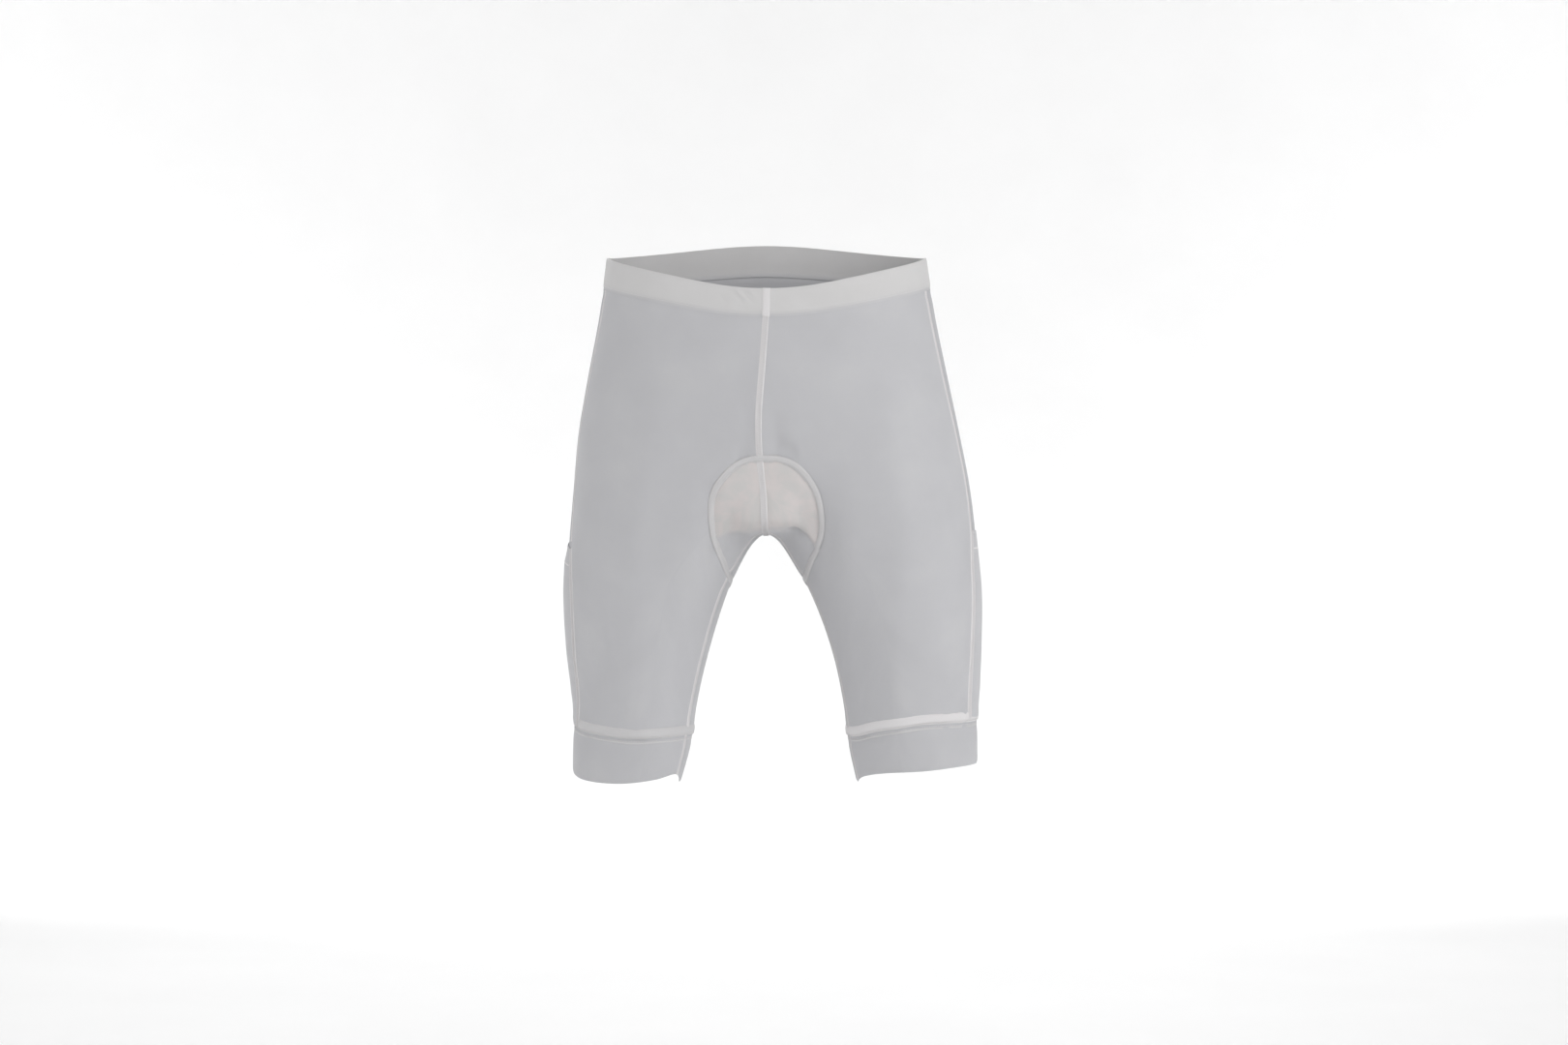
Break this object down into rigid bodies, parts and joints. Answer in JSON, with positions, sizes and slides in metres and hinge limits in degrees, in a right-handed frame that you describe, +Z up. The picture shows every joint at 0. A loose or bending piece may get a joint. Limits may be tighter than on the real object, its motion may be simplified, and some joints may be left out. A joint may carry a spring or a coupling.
{
  "type": "padded cycling shorts",
  "caption": "Plain padded cycling shorts in worn, hollow shape, with waistband, side panels, leg pockets, leg cuffs and an inner seat pad.",
  "frame": {"origin": "middle of the waist opening, level with the top of the waistband at the hips", "axes": "+Z up, the way the wearer stands; -Y to the front of the garment; +X to the wearer's left"},
  "size_m": [0.4287, 0.2653, 0.5622],
  "materials": {
    "band_cloth": "doubled knitted elastane band, matt, lightest cloth of the garment",
    "panel_cloth": "smooth off-white stretch knit with a soft sheen",
    "pocket_cloth": "smooth off-white stretch knit with a soft sheen",
    "cuff_cloth": "close stretch knit cuff, matt",
    "pad_cloth": "brushed warm white moulded foam pad cover"
  },
  "bodies": {
    "root": {"waistband": "band_cloth", "front_right": "panel_cloth", "front_left": "panel_cloth", "side_right": "panel_cloth", "side_left": "panel_cloth", "back_right": "panel_cloth", "back_left": "panel_cloth", "pocket_right": "pocket_cloth", "pocket_left": "pocket_cloth", "hem_right": "cuff_cloth", "hem_left": "cuff_cloth", "pad": "pad_cloth"}
  },
  "joints": []
}
